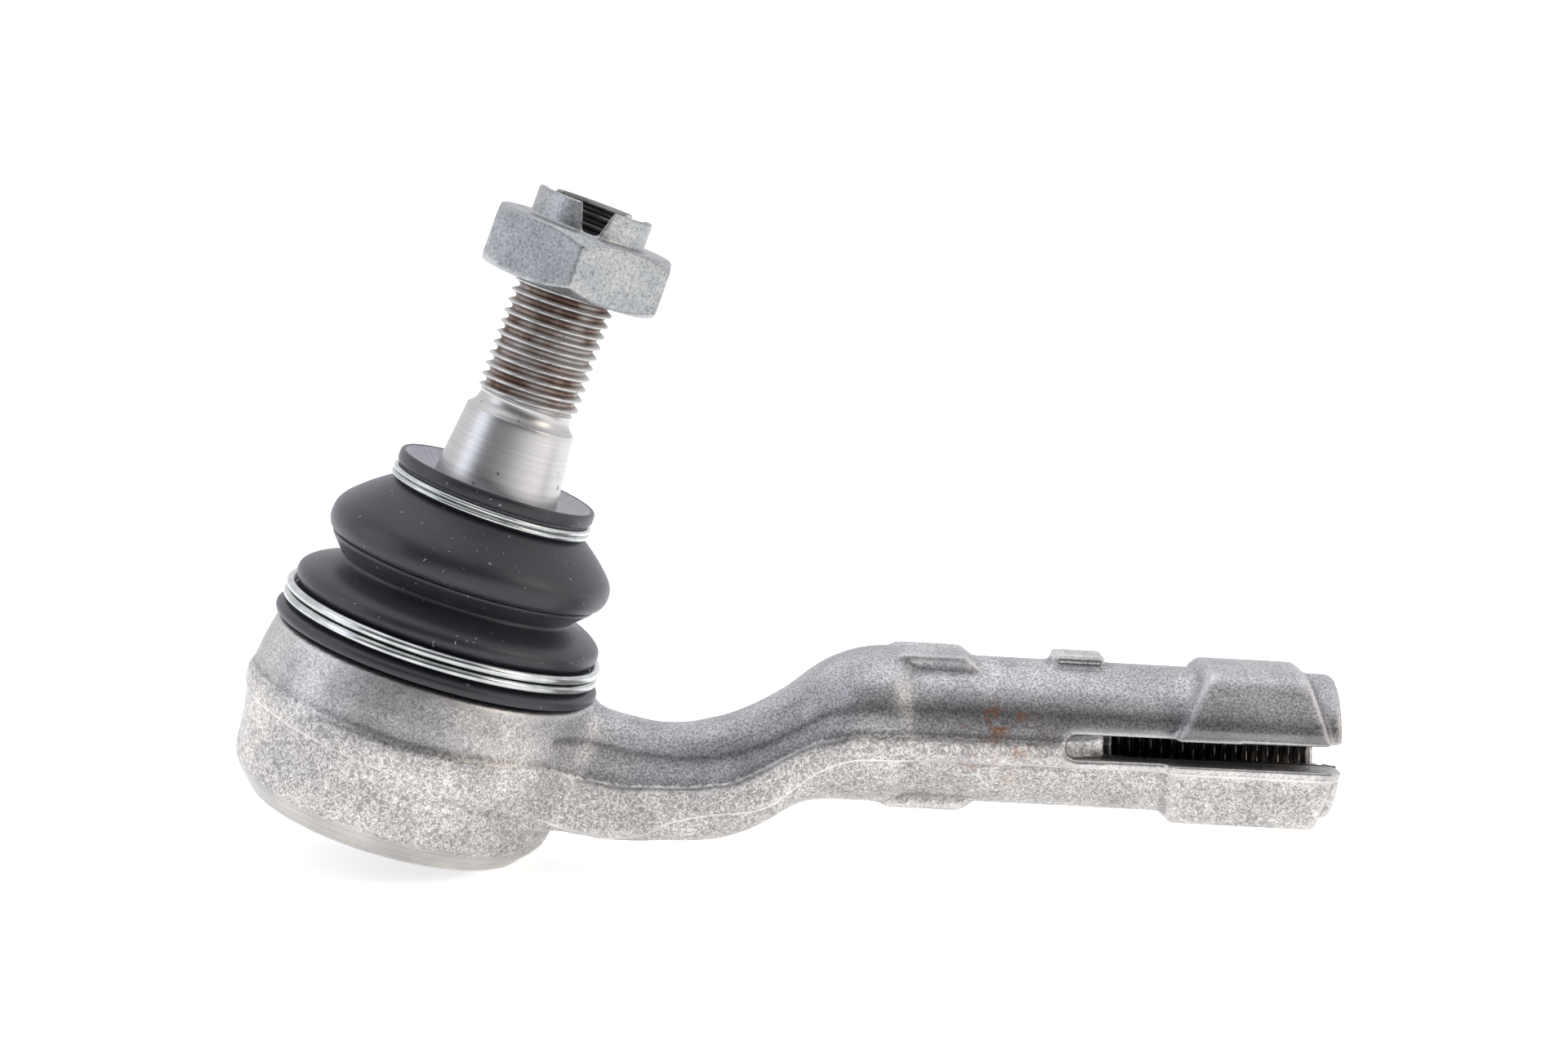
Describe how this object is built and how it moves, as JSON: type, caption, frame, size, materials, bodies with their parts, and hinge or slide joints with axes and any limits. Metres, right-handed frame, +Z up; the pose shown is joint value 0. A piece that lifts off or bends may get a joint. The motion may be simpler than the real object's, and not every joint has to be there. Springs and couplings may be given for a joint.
{
  "type": "tie rod end",
  "caption": "Outer steering tie rod end: forged arm with a booted ball joint and nut at one end and a slotted, threaded barrel with a wrench hexagon at the other.",
  "frame": {"origin": "centre of the barrel's mouth, where the tie rod screws in", "axes": "+X out of the mouth along the barrel, +Z up on the side the ball stud points to, +Y to the left when looking out along +X"},
  "size_m": [0.1492, 0.0472, 0.0921],
  "materials": {
    "forging": "shot-blasted steel forging, light grey and speckled",
    "turned_steel": "satin, fine turning lines",
    "zinc": "dull zinc plating",
    "rubber": "matte black",
    "spring_wire": "bright",
    "bearing_plastic": "off-white acetal, hidden inside the housing"
  },
  "bodies": {
    "housing": {"housing": "forging", "bearing_shell": "bearing_plastic", "closing_plate": "turned_steel", "boot_ring_lower": "spring_wire"},
    "boot": {"dust_boot": "rubber"},
    "boot_collar": {"boot_ring_upper": "spring_wire"},
    "stud": {"ball_stud": "turned_steel"},
    "nut": {"lock_nut": "zinc"}
  },
  "joints": [
    {"name": "stud_tilt_along", "type": "hinge", "parent": "housing", "child": "boot", "pos_m": [-0.1245, 0, 0], "axis": [0, 1, 0], "range_deg": [-20, 16], "deforming": ["dust_boot"]},
    {"name": "stud_tilt_across", "type": "hinge", "parent": "boot", "child": "boot_collar", "pos_m": [-0.1245, 0, 0], "axis": [0.9588, 0, -0.284], "range_deg": [-18, 18], "deforming": ["dust_boot"]},
    {"name": "stud_turn", "type": "hinge", "parent": "boot_collar", "child": "stud", "pos_m": [-0.1245, 0, 0], "axis": [0.284, 0, 0.9588], "continuous": true},
    {"name": "nut_travel", "type": "slide", "parent": "stud", "child": "nut", "axis": [0.284, 0, 0.9588], "range_m": [-0.015, 0.003]}
  ]
}
